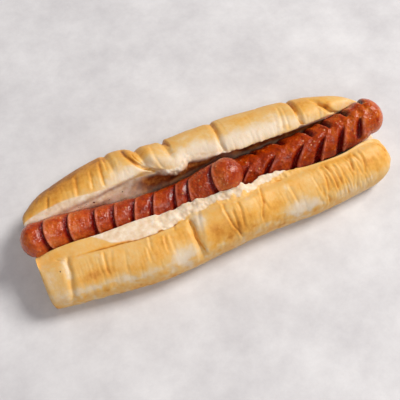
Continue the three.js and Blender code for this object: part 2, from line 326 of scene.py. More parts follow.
roll = {
    "start": -132.5, "end": 134.5, "startRounding": 5, "endRounding": 23,
    "startBluntness": 4, "endBluntness": 2,
    "restFlat": 0.35,       # how far the underside is pressed flat
    "sausageGap": 0.7,
    "foldFade": 0.15,       # share of the way down over which a fold starts and stops
    "backRimDrop": 7,       # from the top of the back crust down to the channel's rim
    "lipRagged": 0.7, "lipUneven": 0.5, "edgeRagged": 0.5,
    "channelTurns": (80, 58, 36, 16, 0, -16, -36, -58, -80),  # degrees from straight down, back first
    "step": 0.62, "capColumns": 24, "rows": 228,
    "stations": [-133, -120, -104, -84, -58, -36, -20, -12, -2, 14, 25, 35, 68, 95, 115, 128, 134],
    "frontWidth": [41, 43.7, 45.5, 48, 50.5, 50, 48.5, 47.7, 46.8,
                   45.5, 44.9, 44.5, 44.5, 42, 39.5, 38.7, 38],
    "frontHeight": [27, 29.5, 31, 32, 33, 33, 35, 36, 37, 37.5, 35.9, 34.5, 34, 33, 32, 28.3, 18],
    "frontEdge": [12.5, 14.5, 16.5, 20.5, 24, 23, 21, 21, 21.5, 23, 21.2, 19.5, 18.5, 18.5, 15, 16, 24],
    "frontLip": [7, 7.8, 8.6, 9.8, 9.8, 11.3, 11.2, 12.5, 13.5, 14.3, 14.2, 11.2, 15.6, 16, 12.3, 11, 15.5],
    "lipHeight": [26.5, 28.7, 29.6, 29.8, 30, 30, 33.5, 34.5, 36.9,
                  38.6, 33, 33, 31.2, 31.1, 30.6, 25.5, 15],
    "backWidth": [29, 39, 44.7, 49.6, 52.8, 48.5, 48.6, 48.7, 49.4,
                  49.6, 49.5, 49.2, 46.7, 42.3, 34.5, 26.5, 21.5],
    "backHeight": [30, 34, 37.5, 40, 41.5, 42, 41, 40.9, 41, 41.5, 41.8, 42, 42, 41, 38, 31, 25],
    "backEdge": [14.5, 14.8, 15.7, 16.8, 20, 20.5, 13, 17, 16.6,
                 12.9, 11.8, 11.5, 11.9, 14.5, 17, 19, 17.5],
    "channelY": [3.5, 3.5, 2.5, 1.5, 0, -0.7, 0, 0.6, 1.5, 3, 3.3, 3.2, 1.5, 1.5, 3, 4.5, 5.5],
    "channelZ": [29, 27.5, 25.5, 23.5, 21.5, 20, 18.5, 18, 17.5, 17.3, 17.5, 18, 22, 24.5, 27.5, 30, 31.5],
    "channelRadius": [11, 11, 11, 12, 13, 13, 13, 13, 13, 13, 13, 13, 13.5, 13.8, 14.3, 14.3, 14.3],
}

# Folds pinched into the crust: side (1 for the back), x at the split edge, lean on the way down,
# depth, half width, and from and to as shares of the way from the split edge down to the table
folds = [
    (1, -39.5, -7, 3.4, 6, 0.1, 0.75), (1, -40, -48, 2.4, 4, 0, 0.1), (1, -21, -1, 2.4, 4, 0.25, 0.7),
    (1, 14.5, 7, 1.8, 4, 0, 0.7), (1, 76.5, 3, 2.4, 4, 0, 0.7), (1, 103, -35, 2.6, 4, 0, 0.2),
    (1, -62, -4, 1.6, 4, 0.2, 0.7), (-1, -27.3, 3, 2.6, 4.5, 0.15, 0.45), (-1, -112, -10, 1.6, 4, 0.15, 0.6),
]


def tornFront(x):
    # where the front crumb is torn rather than cut
    return stretch(x, -52, 6, 52, 14)


def tornBack(x):
    # the back crumb is torn in two stretches
    return np.maximum(stretch(x, -38, 6, -12, 8), stretch(x, 16, 6, 58, 10))


def shellKeys(side, width, height, edge):
    # from the split edge down one half's crust, as shares of its width and height
    return [
        (side * (edge + 0.28 * (width - edge)), height),
        (side * (edge + 0.68 * (width - edge)), 0.88 * height),
        (side * 0.975 * width, 0.62 * height),
        (side * 0.985 * width, 0.27 * height),
        (side * 0.86 * width, 0.7),
        (side * 0.45 * width, 0),
    ]


def rollKeys(x):
    # the key points round the cross-sections at x: front crust, underside, back crust, channel
    now = {name: along(roll["stations"], values, x) for name, values in roll.items()
           if isinstance(values, list) and name != "stations"}
    line = np.stack([x, 0 * x, 0 * x], -1)
    ragged = lumps(line, 3.4, 11) + 0.6 * lumps(line, 1.5, 12)
    now["frontLip"] = now["frontLip"] + roll["lipRagged"] * ragged * tornFront(x)
    now["lipHeight"] = now["lipHeight"] + roll["lipUneven"] * lumps(line, 4.1, 13) * tornFront(x)
    now["backEdge"] = now["backEdge"] + roll["edgeRagged"] * ragged * tornBack(x)
    centreY, centreZ, radius = now["channelY"], now["channelZ"], now["channelRadius"]
    rimBack = now["backHeight"] - roll["backRimDrop"]
    lipY = -now["frontLip"] - 0.5
    keys = [(-now["frontEdge"], now["frontHeight"] - 2)]
    keys += shellKeys(-1, now["frontWidth"], now["frontHeight"], now["frontEdge"])
    keys += [(0, 0)]
    keys += shellKeys(1, now["backWidth"], now["backHeight"], now["backEdge"])[::-1]
    keys += [
        (now["backEdge"], now["backHeight"] - 3),
        (np.maximum(now["backEdge"] - 2, centreY + radius - 1), rimBack),
        (np.maximum(now["backEdge"] - 4, centreY + radius), (rimBack + centreZ) / 2 + 1),
    ]
    for degrees in roll["channelTurns"]:
        turn = math.radians(degrees)
        z = centreZ - radius * math.cos(turn)
        if degrees < 0:
            z = np.minimum(z, now["lipHeight"] - 2)
        keys.append((centreY + radius * math.sin(turn), z))
    wallZ = np.minimum((now["lipHeight"] + centreZ) / 2 + 1, now["lipHeight"] - 1)
    keys += [(lipY, wallZ), (lipY, now["lipHeight"])]
    return np.stack([np.stack([y + 0 * x, z + 0 * x], -1) for y, z in keys], 1)


def foldDepth(x, place):
    # how far the folds press the crust in
    back = place > underPlace
    down = np.where(back, backPlace - place, place) / 6
    depth = np.zeros(np.broadcast(x, place).shape)
    for side, foldX, lean, deep, halfWidth, start, stop in folds:
        fade = stretch(down, start - roll["foldFade"], roll["foldFade"], stop, roll["foldFade"])
        off = np.minimum(np.abs(x - foldX - lean * down) / halfWidth, 1)
        depth = depth + np.where(back == (side == 1), deep * fade * (1 - off) ** 1.5, 0)
    return depth


def sectionPoints(keys, x, place):
    # points at these places round each cross-section, the folds pressed in
    k = np.floor(place).astype(int)
    w = (place - k)[None, :, None]
    before, here, there, after = (keys[:, (k + step) % lastPlace] for step in (-1, 0, 1, 2))
    leave, arrive = (there - before) / 2, (after - here) / 2
    bend = 3 * (there - here) - 2 * leave - arrive
    twist = 2 * (here - there) + leave + arrive
    point = here + leave * w + bend * w**2 + twist * w**3
    way = leave + 2 * bend * w + 3 * twist * w**2
    way /= np.linalg.norm(way, axis=-1, keepdims=True)
    inward = np.stack([-way[..., 1], way[..., 0]], -1)
    return point + inward * foldDepth(x[:, None], place[None, :])[..., None]


def keepClear(points, sausage):
    # bread that would touch a sausage is moved straight away from it
    centre, forward, radius = sausageAt(sausage, points[..., 0])
    offset = points - centre
    ahead = (offset * forward).sum(-1)
    radius = sausageAt(sausage, points[..., 0] + ahead * forward[..., 0])[2]
    distance = np.linalg.norm(offset - forward * ahead[..., None], axis=-1)
    wanted = radius + roll["sausageGap"]
    push = np.where((radius > 0) & (distance < wanted), wanted / np.maximum(distance, 1e-6), 1)
    return centre + offset * push[..., None]


def rollSkin():
    startCap, endCap = roll["startRounding"], roll["endRounding"]
    x = spread(roll["start"], roll["end"], roll["step"], startCap, endCap, roll["capColumns"])
    v = np.linspace(0, 1, roll["rows"] + 1)
    wave = 4 * math.pi  # closer rows near both split edges
    place = lastPlace * (v - 0.5 * np.sin(wave * v) / wave)
    keys = rollKeys(x)
    point = sectionPoints(keys, x, place)
    middle = (point + sectionPoints(keys, x, lastPlace - place)) / 2
    ends = rounded(x - roll["start"], startCap, roll["startBluntness"])
    ends = ends * rounded(roll["end"] - x, endCap, roll["endBluntness"])
    point = middle + (point - middle) * ends[:, None, None]
    skin = np.concatenate([np.broadcast_to(x[:, None, None], point.shape[:2] + (1,)), point], -1)
    for sausage in (upperSausage, lowerSausage):
        skin = keepClear(skin, sausage)
    skin[..., 2] = np.maximum(skin[..., 2] - roll["restFlat"], 0)
    return skin, x, place, ends


# Creases in the crust: points (x, place) down the crust, width, depth, and how far the right
# rim stands up, or the left one where that is negative. Places run from -2 at the sausage over
# the front crust to 7 on the table, and on up the back crust to 15 in the split.
creases = [
    ([(-119.5, 0.2), (-117.2, 0.45), (-115, 0.55)], 0.8, 0.5, 0),
    ([(-112, 0.3), (-113.8, 0.8), (-112.8, 1.5), (-116, 2.1), (-116.6, 2.6)], 1.1, 0.6, -0.25),
    ([(-88.6, 0.7), (-89.8, 1.4), (-90.2, 1.95)], 0.9, 0.7, -0.3),
    ([(-83.8, 0.7), (-85, 1.2), (-87.2, 1.8)], 1.1, 0.35, 0.1),
    ([(-75, 1), (-77.4, 2)], 1, 0.4, 0.1),
    ([(-56.6, 0.2), (-58.2, 1.35)], 0.9, 0.55, -0.3),
    ([(-60.2, 1.25), (-60.8, 1.9)], 0.9, 0.55, -0.3),
    ([(-46.6, 0.8), (-48, 1.65)], 0.9, 0.55, -0.3),
    ([(-42.8, 1), (-43.4, 2)], 1, 0.4, -0.2),
    ([(-37.6, 0.05), (-38.6, 0.6)], 0.8, 0.5, 0.2),
    ([(-27, 0.35), (-26.6, 0.9), (-26.4, 1.3), (-26.9, 1.8), (-25.6, 2.3), (-23.8, 2.75)], 0.9, 1.2, 0.2),
    ([(-26.4, -0.9), (-27, -0.2)], 0.8, 0.4, 0.1),
    ([(-18.6, 0.0), (-20.6, 0.7), (-22, 1.4), (-22.4, 2)], 1.3, 0.45, 0.2),
    ([(-1.4, 0.3), (-2.4, 1.1), (-1.2, 1.6), (0, 2.15), (2.8, 2.6), (4.8, 3.1)], 0.9, 0.9, -0.35),
    ([(2.6, 1.3), (3, 2), (3.6, 2.4)], 0.9, 0.7, 0.25),
    ([(8.2, 0.6), (8.4, 1.4), (7.8, 1.8), (7.6, 2.4)], 0.9, 0.7, 0.2),
    ([(28, 0), (26.4, 1), (25.8, 1.5), (23.4, 1.9), (22, 2.4)], 0.9, 1.0, -0.35),
    ([(26.2, 1.4), (28.2, 1.95)], 0.8, 0.5, 0.15),
    ([(47.8, 1.3), (49.8, 2.2)], 1, 0.6, -0.3),
    ([(74.2, 0.5), (75, 1.2), (75, 1.6), (74.2, 2.3)], 0.9, 0.7, -0.3),
    ([(78.4, 0.5), (79.8, 1.3), (81, 1.8), (81.6, 2.3)], 0.9, 0.8, -0.3),
    ([(83.8, 0.7), (84.6, 1.5), (85.8, 2.15)], 0.8, 0.6, 0.2),
    ([(87.4, 0.7), (88.8, 1.5), (88, 2.2)], 0.8, 0.5, -0.2),
    ([(97.8, 0.8), (97, 1.65)], 0.8, 0.6, 0.2),
    ([(101.2, 0.4), (101.4, 1.55)], 0.8, 0.5, -0.2),
    ([(106, 0.5), (107.4, 1.4), (106, 2.2)], 0.9, 0.6, 0.2),
    ([(96, 1.6), (94, 2.75)], 0.8, 0.4, 0.1),
    ([(99, 1.8), (97, 2.9)], 0.8, 0.4, 0.1),
    ([(121.6, 0), (124.4, 0.6), (127.8, 1.45)], 0.9, 0.8, -0.3),
    ([(-51.2, 11.6), (-50.8, 12.4), (-47.4, 13.02), (-43.8, 13.58), (-38.4, 14.24), (-35.4, 15)],
     1.2, 1.5, 0),
    ([(-45.4, 12.5), (-43.4, 13), (-41.8, 13.4)], 1.1, 1.2, 0.1),
    ([(-31.2, 12.1), (-31.8, 13.1), (-30, 13.9)], 1.2, 0.5, -0.2),
    ([(-65, 11.6), (-65.6, 12.3), (-66.4, 12.9)], 1.2, 0.8, 0.2),
    ([(-69.6, 12.2), (-71, 12.9), (-71.8, 13.7)], 1.1, 0.9, -0.3),
    ([(-77.8, 12.5), (-78.8, 13), (-79.8, 13.5)], 1.1, 0.7, -0.24),
    ([(-88.8, 12.3), (-90, 12.9), (-91.2, 13.5)], 1.2, 0.85, -0.28),
    ([(-111.4, 12.6), (-112.6, 13), (-114, 13.4)], 1.1, 0.8, 0.3),
    ([(-20.6, 10.6), (-20.4, 11.5), (-19, 12.2)], 1.2, 1, 0.2),
    ([(17.9, 11.5), (16.2, 12.6), (14.9, 13.1), (16.4, 13.8), (17.4, 14.4)], 1, 0.8, -0.3),
    ([(66.5, 12.2), (64.8, 12.8), (62.4, 13.6)], 0.9, 0.5, -0.2),
    ([(69.5, 12.3), (67.6, 13), (66.4, 13.8)], 0.8, 0.4, -0.2),
    ([(78.4, 11.6), (77, 12.6), (75.8, 13.2), (78, 14.1)], 1, 0.9, -0.4),
    ([(95.8, 12.7), (99, 13.2), (104, 14.2)], 1, 0.8, 0.3),
    ([(93.4, 13.3), (91.8, 14.1)], 0.9, 0.6, 0.3),
]

# Fine wrinkles drawn at random: from and to along x, from and to place, how many, lean in mm
# for each place, and the greatest depth
wrinkles = [
    (64, 130, 0.3, 2.9, 170, 2, 0.31), (-12, 55, 0.4, 3, 24, 1, 0.22),
    (-100, -32, 0.2, 2.4, 30, -0.8, 0.22), (-128, -100, 0.2, 2.4, 8, 0, 0.2),
    (56, 96, 12, 14, 30, -2.6, 0.18), (-128, -52, 11.6, 13.7, 30, -1, 0.24),
    (-32, 52, 11.6, 13.9, 12, -1, 0.14), (-120, 120, 2.6, 4.4, 50, 0, 0.2),
    (-120, 120, 8.6, 11.8, 70, 0, 0.22),
]
wrinkleSeed = 7


def randomWrinkles():
    # lines like the creases
    rng = np.random.default_rng(wrinkleSeed)
    lines = []
    for low, high, start, stop, count, lean, deepest in wrinkles:
        for _ in range(count):
            upper = rng.uniform(start, stop)
            lower = min(upper + rng.uniform(0.4, 1.3), stop + 0.2)
            upperX = rng.uniform(low, high)
            slope = lean + rng.uniform(-1.2, 1.2)
            bend = rng.uniform(-0.6, 0.6)
            bendX = upperX + slope * (lower - upper) / 2 + bend
            lowerX = upperX + slope * (lower - upper)
            width = rng.uniform(0.5, 0.85)
            depth = deepest * rng.uniform(0.35, 1)
            rise = rng.uniform(-0.4, 0.4) * deepest
            path = [(upperX, upper), (bendX, (upper + lower) / 2), (lowerX, lower)]
            lines.append((path, width, depth, rise))
    return lines


def creaseRelief(x, place):
    # how far all creases and wrinkles move the crust, inward as a negative number
    relief = np.zeros(np.broadcast(x, place).shape)
    for path, width, depth, rise in creases + randomWrinkles():
        pathX, pathPlace = np.array(path).T
        upper, lower = pathPlace[0], pathPlace[-1]
        margin = 6 * width
        columns = np.nonzero((x[:, 0] > pathX.min() - margin) & (x[:, 0] < pathX.max() + margin))[0]
        rows = np.nonzero((place[0] > upper - 0.3) & (place[0] < lower + 0.3))[0]
        if len(columns) == 0 or len(rows) == 0:
            continue
        here = place[:, rows]
        off = (x[columns] - np.interp(here, pathPlace, pathX)) / width
        fade = smooth((here - upper + 0.25) / 0.3) * smooth((lower + 0.25 - here) / 0.3)
        valley = -depth * np.exp(-(np.abs(off) ** 1.4))
        ridge = abs(rise) * np.exp(-((off - 1.9 * np.sign(rise)) ** 2))
        relief[np.ix_(columns, rows)] += (valley + ridge) * fade
    return relief


# How brown the crust is, from 0 for pale to 1 for brown: first down from the split over the
# front, under the roll and up the back, then single masses as (x, place, reach along, reach
# down, how much)
bakeLevels = {
    "places": [-2, 0.3, 1.3, 1.9, 2.35, 2.7, 3.2, 3.7, 4.6, 7, 9.4, 10.3, 11.2, 12.1, 12.8, 13.5, 15],
    "levels": [0.46, 0.46, 0.5, 0.56, 0.5, 0.38, 0.4, 0.46, 0.34, 0.25, 0.3, 0.42, 0.56, 0.56, 0.44,
               0.36, 0.3],
}
bakeMasses = [
    (-100, 12.6, 32, 1.3, 0.27), (-54, 13.8, 18, 0.6, -0.4), (-46, 12.6, 5, 0.6, 0.26),
    (-118, 12.3, 12, 1, 0.1), (-92, 11.6, 34, 0.45, 0.3), (-36, 12.4, 6, 0.4, 0.15),
    (-38, 13.4, 4, 0.5, 0.1), (-4, 13.3, 26, 0.6, -0.42), (-8, 12.2, 20, 0.3, -0.12),
    (45, 13.3, 30, 0.6, -0.42), (90, 12.9, 14, 0.9, 0.14), (100, 13.3, 5, 0.45, 0.5),
    (80, 12.6, 3, 0.7, 0.15), (-100, 2, 14, 0.25, 0.2), (-70, 2, 20, 0.3, 0.12),
    (-45, 1.2, 14, 0.6, 0.14), (-37, 2.5, 8, 0.7, -0.4), (-22.5, 1, 3.4, 0.9, -0.45),
    (-14, 2.1, 8, 0.6, 0.28), (2, 2.6, 14, 0.5, 0.3), (10, 1.8, 14, 0.6, 0.12),
    (32, 2.2, 12, 0.5, 0.12), (53, 2.6, 10, 0.6, -0.42), (44, 1.1, 3, 0.25, -0.2),
    (80, 0.3, 14, 0.4, 0.2), (98, 0.4, 4, 0.3, 0.25), (84, 2.7, 10, 0.4, -0.15),
    (112, 1.6, 12, 0.8, 0.1), (124, 1.8, 6, 1, 0.04), (-125, 1.7, 8, 1.1, -0.26),
    (-122, 0, 8, 0.5, 0.16), (-115.6, 1.3, 1.8, 0.9, -0.3), (-130, 4, 3, 0.8, 0.3),
    (42, 0, 2, 0.15, 0.4), (-80, 2.62, 42, 0.2, -0.25),
]

# Grease soaked into the crumb of the split, and painted shade in the deep gap beside the sausages, as masses
# of the same kind
greaseAndShadeMasses = [
    (-100, 14.4, 20, 0.5, 0.4), (-70, 14.9, 16, 0.35, 0.5), (-42, 16.1, 12, 0.8, 0.92),
    (-79, 16.3, 5, 0.3, 0.5), (-26, 15.7, 12, 0.6, 1), (-10, 15.3, 12, 0.8, 1), (8, 15.2, 14, 0.7, 0.8),
    # the masses from here on are painted shade in the gap between the crumb and the sausages
    (36, 15.9, 18, 0.7, 1), (66, 15.9, 20, 0.7, 1), (98, 16.1, 22, 0.7, 1), (-20, 17.2, 18, 1, 0.7),
    (8, 17.1, 20, 1, 0.8),
]

# The places at which crust ends and bare crumb begins: below the front one, past the back one
crumbEdges = {
    "frontX": [-133, -100, -90, -82, -62, -30, -24, -18, -12, -1, 11, 25, 39, 50, 60, 118, 128, 134],
    "front": [-3, -1.8, -0.8, -0.2, 0, 0, -0.3, 0.08, -0.15, -0.3, -0.22, -0.22, -0.3, -0.75, -1.2,
              -1.6, -3, -5],
    "frontBlur": 0.1,
    "backX": [-133, -104, -87, -68, -51, -36, -30, -25, -11, 15, 32, 60, 75, 90, 134],
    "back": [13.2, 13.4, 13.7, 14.2, 14.9, 15.2, 14.3, 14, 13.6, 13.8, 14.2, 14.2, 14.2, 14.5, 15],
    "backBlur": 0.14,
}

# The front crust's rolled edge over the cut crumb: how strong it is, and the place it follows
rolledRim = {
    "strengthX": [-110, -92, -62, -38, -31],
    "strength": [0, 0.7, 1.1, 1.1, 0],
    "placeX": [-108, -90, -76, -47, -28],
    "place": [0.4, 0.16, 0, -0.04, 0],
    "mmForPlace": 8,
}

# Browning beyond the levels and masses, with painted shade in deep creases and along the rolled edge's
# groove
browningAndShade = {
    "warpX": 5, "warpPlace": 0.22,     # how far the masses' outlines wander
    "mottle": 0.1,
    # painted shade along the groove under the rolled edge
    "rolledEdge": 0.6,
    "pulledSide": 0.07, "pulledLarge": 0.22, "pulledSmall": 0.16,
    "creaseShade": 0.45, "creaseShadeFrom": 0.35,  # painted shade in the creases: only creases deeper than this are painted darker
}

# Fine relief of the roll: how far each kind moves the skin
breadRelief = {
    "rim": 0.5, "groove": 0.9,
    "tear": 0.8, "smallTear": 0.5, "moreAtBack": 0.4, "hairTear": 0.3,
    "waves": 0.12, "crustWaves": 0.22, "pores": 0.12, "pulled": 0.3,
    "creaseInCrumb": 0.25,  # share of a crease's depth that is left in bare crumb
}


def masses(x, place, spots):
    # the sum of soft round masses
    total = 0
    for middle, level, reachX, reachPlace, much in spots:
        total = total + much * np.exp(-(((x - middle) / reachX) ** 2) - ((place - level) / reachPlace) ** 2)
    return total


def rolledEdge(x, place):
    # how strong the rolled edge is, and how many mm a place lies down from it
    strength = np.interp(x, rolledRim["strengthX"], rolledRim["strength"])
    rimPlace = np.interp(x, rolledRim["placeX"], rolledRim["place"])
    return strength, (place - rimPlace) * rolledRim["mmForPlace"]


def pulledSide(x, place):
    # the front's lower side, rough where the roll was pulled from the next one in the oven
    return stretch(place, 2.5, 0.25, 4.4, 0.6) * stretch(x, -122, 8, 70, 20)


def rollFields(skin, x, place):
    # browning with painted shade in it, bare crumb, and grease with painted shade in it over the roll, and
    # where the crumb is torn
    warpX = x + browningAndShade["warpX"] * roughLumps(skin, 14, 21)
    warpPlace = place + browningAndShade["warpPlace"] * roughLumps(skin, 9, 31)
    strength, rolled = rolledEdge(x, place)
    bake = np.interp(warpPlace, bakeLevels["places"], bakeLevels["levels"])
    bake = bake + masses(warpX, warpPlace, bakeMasses)
    bake = bake + browningAndShade["mottle"] * roughLumps(skin, (9, 14, 14), 41)
    # painted shade along the groove under the rolled edge
    bake = bake + browningAndShade["rolledEdge"] * strength * np.exp(-((rolled - 0.2) ** 2))
    patchy = browningAndShade["pulledLarge"] * lumps(skin, 4.5, 43) + browningAndShade["pulledSmall"] * lumps(skin, 2, 44)
    bake = bake + pulledSide(x, place) * (browningAndShade["pulledSide"] + patchy)

    front = np.interp(x, crumbEdges["frontX"], crumbEdges["front"])
    back = np.interp(x, crumbEdges["backX"], crumbEdges["back"])
    ragged = (0.06 + 0.2 * tornFront(x) * (np.abs(place) < 2)) * roughLumps(skin, 4, 51)
    frontCrumb = smooth((front - place + ragged) / crumbEdges["frontBlur"] + 0.5)
    backCrumb = smooth((place - back + ragged) / crumbEdges["backBlur"] + 0.5)
    frontTorn = tornFront(x) * smooth((0.25 - place) / 0.3) * smooth((place + 1.4) / 0.3)
    backTorn = tornBack(x) * smooth((place - back + 0.1) / 0.3) * smooth((15.7 - place) / 0.5)

    grease = masses(warpX, warpPlace, greaseAndShadeMasses) + 0.5 * smooth((place - 16.4) / 2)
    grease = grease * stretch(x, -131, 5, 112, 14)
    return {
        "bake": np.clip(bake, 0, 1),
        "crumb": np.maximum(frontCrumb, backCrumb),
        "torn": np.maximum(frontTorn, backTorn),
        "grease": np.clip(grease, 0, 1),
    }


def fineRelief(skin, x, place, fields, creased):
    # all relief of the roll's skin, the creases with it
    crumb = fields["crumb"]
    strength, rolled = rolledEdge(x, place)
    rim = breadRelief["rim"] * np.exp(-(((rolled - 2.2) / 1.6) ** 2))
    groove = breadRelief["groove"] * np.exp(-((rolled / 1.1) ** 2))
    smallTear = breadRelief["smallTear"] + breadRelief["moreAtBack"] * (place > 10)
    tearing = breadRelief["tear"] * lumps(skin, 5, 61) + smallTear * lumps(skin, 2.4, 62)
    tearing = tearing + breadRelief["hairTear"] * lumps(skin, 1.4, 63)
    relief = creased + strength * (rim - groove) + fields["torn"] * tearing
    waves = breadRelief["crustWaves"] * (1 - crumb) + breadRelief["waves"]
    relief = relief + waves * roughLumps(skin, 13, 71)
    relief = relief + breadRelief["pores"] * crumb * roughLumps(skin, 2.2, 81)
    return relief + breadRelief["pulled"] * pulledSide(x, place) * lumps(skin, 2.8, 72)


def makeRoll():
    # the roll, with its skin and the grid's x and places, which the specks are laid on
    skin, x, place, ends = rollSkin()
    place = np.where(place > channelPlace, place - lastPlace, place)  # the front lip is just under 0
    columnX, rowPlace = x[:, None], place[None, :]
    fields = rollFields(skin, columnX, rowPlace)
    inCrumb = breadRelief["creaseInCrumb"]
    creased = creaseRelief(columnX, rowPlace) * (inCrumb + (1 - inCrumb) * (1 - fields["crumb"]))
    # painted shade darkens the deeper creases
    paintedCreaseShade = np.clip(-browningAndShade["creaseShadeFrom"] - creased, 0, 1)
    fields["bake"] = np.clip(fields["bake"] + browningAndShade["creaseShade"] * paintedCreaseShade, 0, 1)
    relief = fineRelief(skin, columnX, rowPlace, fields, creased)
    lowest = smooth(skin[..., 2] / 2)  # the underside stays flat on the table
    skin = skin + outward(skin) * (relief * lowest * ends[:, None])[..., None]
    skin[..., 2] = np.maximum(skin[..., 2], 0)
    return closedSkin("hotDogRoll", skin, fields), skin, x, place


# Burnt specks on the bread. Spots: x, place, reach along, reach down, how many, least and
# greatest radius
brownSpecks = {
    "spots": [
        (-82.2, 15.5, 0.6, 0.03, 2, 0.5, 0.7), (-71.4, 16.2, 1, 0.03, 1, 0.35, 0.45),
        (-61.8, 16, 1, 0.03, 1, 0.4, 0.5), (-88, 15.3, 6, 0.3, 4, 0.2, 0.35),
        (-119.4, 1.31, 0.1, 0.01, 1, 0.5, 0.55), (48, 14.3, 16, 0.15, 6, 0.2, 0.4),
    ],
    "seed": 32,
    "flatness": 0.5,
    "roughness": 0.5,
    "stretching": (0.5, 1.3),
}


def makeSpecks(skin, x, place):
    # small lumps half sunk in the bread, joined in one mesh
    seed = brownSpecks["seed"]
    rng = np.random.default_rng(seed)
    normal = outward(skin)
    bm = bmesh.new()
    for middle, level, reachX, reachPlace, count, least, most in brownSpecks["spots"]:
        for _ in range(count):
            i = np.abs(x - middle - reachX * rng.normal() * 0.5).argmin()
            j = np.abs(place - level - reachPlace * rng.normal() * 0.5).argmin()
            radius = rng.uniform(least, most)
            ball = bmesh.ops.create_icosphere(bm, subdivisions=2, radius=1)["verts"]
            points = np.array([vert.co for vert in ball])
            uneven = lumps(points + rng.uniform(0, 99, 3), 0.8, seed)[:, None]
            points *= 1 + brownSpecks["roughness"] * uneven
            points *= rng.uniform(*brownSpecks["stretching"], 3)
            out = normal[i, j]
            points -= (points @ out)[:, None] * out * brownSpecks["flatness"]
            for vert, point in zip(ball, (skin[i, j] + points * radius) * mm):
                vert.co = point
    for face in bm.faces:
        face.smooth = True
    mesh = bpy.data.meshes.new("brownSpecks")
    bm.to_mesh(mesh)
    bm.free()
    specks = bpy.data.objects.new("brownSpecks", mesh)
    bpy.context.scene.collection.objects.link(specks)
    return specks


def linear(code):
    # sRGB hex to a linear colour
    parts = [int(code[i:i + 2], 16) / 255 for i in (1, 3, 5)]
    return tuple(c / 12.92 if c <= 0.04045 else ((c + 0.055) / 1.055) ** 2.4 for c in parts) + (1,)


def addNode(tree, kind, settings=None, links=None):
    node = tree.nodes.new("ShaderNode" + kind)
    for name, value in (settings or {}).items():
        if name == "stops":
            ramp = node.color_ramp
            while len(ramp.elements) < len(value):
                ramp.elements.new(0.5)
            for element, (position, code) in zip(ramp.elements, value):
                element.position = position
                element.color = linear(code)
        elif isinstance(name, str) and hasattr(node, name):
            setattr(node, name, value)
        else:
            node.inputs[name].default_value = value
    for name, source in (links or {}).items():
        tree.links.new(source, node.inputs[name])
    return node


def newMaterial(name):
    material = bpy.data.materials.new(name)
    material.use_nodes = True
    tree = material.node_tree
    tree.nodes.clear()
    surface = addNode(tree, "BsdfPrincipled")
    addNode(tree, "OutputMaterial", links={"Surface": surface.outputs[0]})
    return material, tree, surface


def breadMaterial():
    # Soft wheat bread, steam baked and egg washed: a thin satin crust with fine skin wrinkles,
    # over matte open crumb that is darker where grease has soaked in, with painted shade in deep
    # creases, along the rolled edge's groove and in the gap beside the sausages
    material, tree, surface = newMaterial("soft_baked_wheat_bread")
    place = addNode(tree, "TexCoord").outputs["Object"]
    bake = addNode(tree, "Attribute", {"attribute_name": "bake"}).outputs["Fac"]
    crumb = addNode(tree, "Attribute", {"attribute_name": "crumb"}).outputs["Fac"]
    grease = addNode(tree, "Attribute", {"attribute_name": "grease"}).outputs["Fac"]
    across = addNode(tree, "Mapping", {"Scale": (1, 0.8, 0.8)}, {"Vector": place})
    streak = addNode(tree, "TexNoise", {"Scale": 420, "Detail": 5, "Roughness": 0.68},  # 2.4 mm
                     {"Vector": across.outputs[0]}).outputs["Fac"]
    blotch = addNode(tree, "TexNoise", {"Scale": 130, "Detail": 5, "Roughness": 0.6},  # 8 mm
                     {"Vector": place}).outputs["Fac"]
    pore = addNode(tree, "TexNoise", {"Scale": 240, "Detail": 4, "Roughness": 0.55},  # 4 mm
                   {"Vector": place}).outputs["Fac"]
    streaky = addNode(tree, "Math", {"operation": "MULTIPLY_ADD", 1: 0.44, 2: -0.22}, {0: streak})
    blotchy = addNode(tree, "Math", {"operation": "MULTIPLY_ADD", 1: 0.5, 2: -0.25}, {0: blotch})
    uneven = addNode(tree, "Math", {"operation": "ADD"}, {0: streaky.outputs[0], 1: blotchy.outputs[0]})
    brown = addNode(tree, "Math", {"operation": "ADD"}, {0: uneven.outputs[0], 1: bake})
    crustStops = [(0, "#ecd9c0"), (0.2, "#e9cda4"), (0.42, "#eabd74"), (0.62, "#eaae50"),
                  (0.82, "#d79034"), (1, "#b06e22")]
    cleanStops = [(0.3, "#e2c4a0"), (0.5, "#eed7ba"), (0.7, "#f9ead7")]
    greaseAndShadeStops = [(0.3, "#4e1c04"), (0.5, "#8e4208"), (0.7, "#c98238")]
    crust = addNode(tree, "ValToRGB", {"stops": crustStops}, {"Fac": brown.outputs[0]})
    clean = addNode(tree, "ValToRGB", {"stops": cleanStops}, {"Fac": pore})
    greasedAndShaded = addNode(tree, "ValToRGB", {"stops": greaseAndShadeStops}, {"Fac": blotch})
    inside = addNode(tree, "Mix", {"data_type": "RGBA"},
                     {0: grease, 6: clean.outputs[0], 7: greasedAndShaded.outputs[0]})
    colour = addNode(tree, "Mix", {"data_type": "RGBA"},
                     {0: crumb, 6: crust.outputs[0], 7: inside.outputs[2]})
    rough = addNode(tree, "MapRange", {"To Min": 0.46, "To Max": 0.85}, {"Value": crumb})
    fine = addNode(tree, "Mix", {"data_type": "FLOAT"}, {0: crumb, 2: streak, 3: pore})
    bump = addNode(tree, "Bump", {"Strength": 0.4, "Distance": 0.0006}, {"Height": fine.outputs[0]})
    tree.links.new(colour.outputs[2], surface.inputs["Base Color"])
    tree.links.new(rough.outputs[0], surface.inputs["Roughness"])
    tree.links.new(bump.outputs[0], surface.inputs["Normal"])
    surface.inputs["IOR"].default_value = 1.42
    surface.inputs["Specular IOR Level"].default_value = 0.4
    surface.inputs["Subsurface Weight"].default_value = 0.2
    surface.inputs["Subsurface Radius"].default_value = (0.004, 0.0024, 0.0012)
    surface.inputs["Subsurface Scale"].default_value = 1
    return material


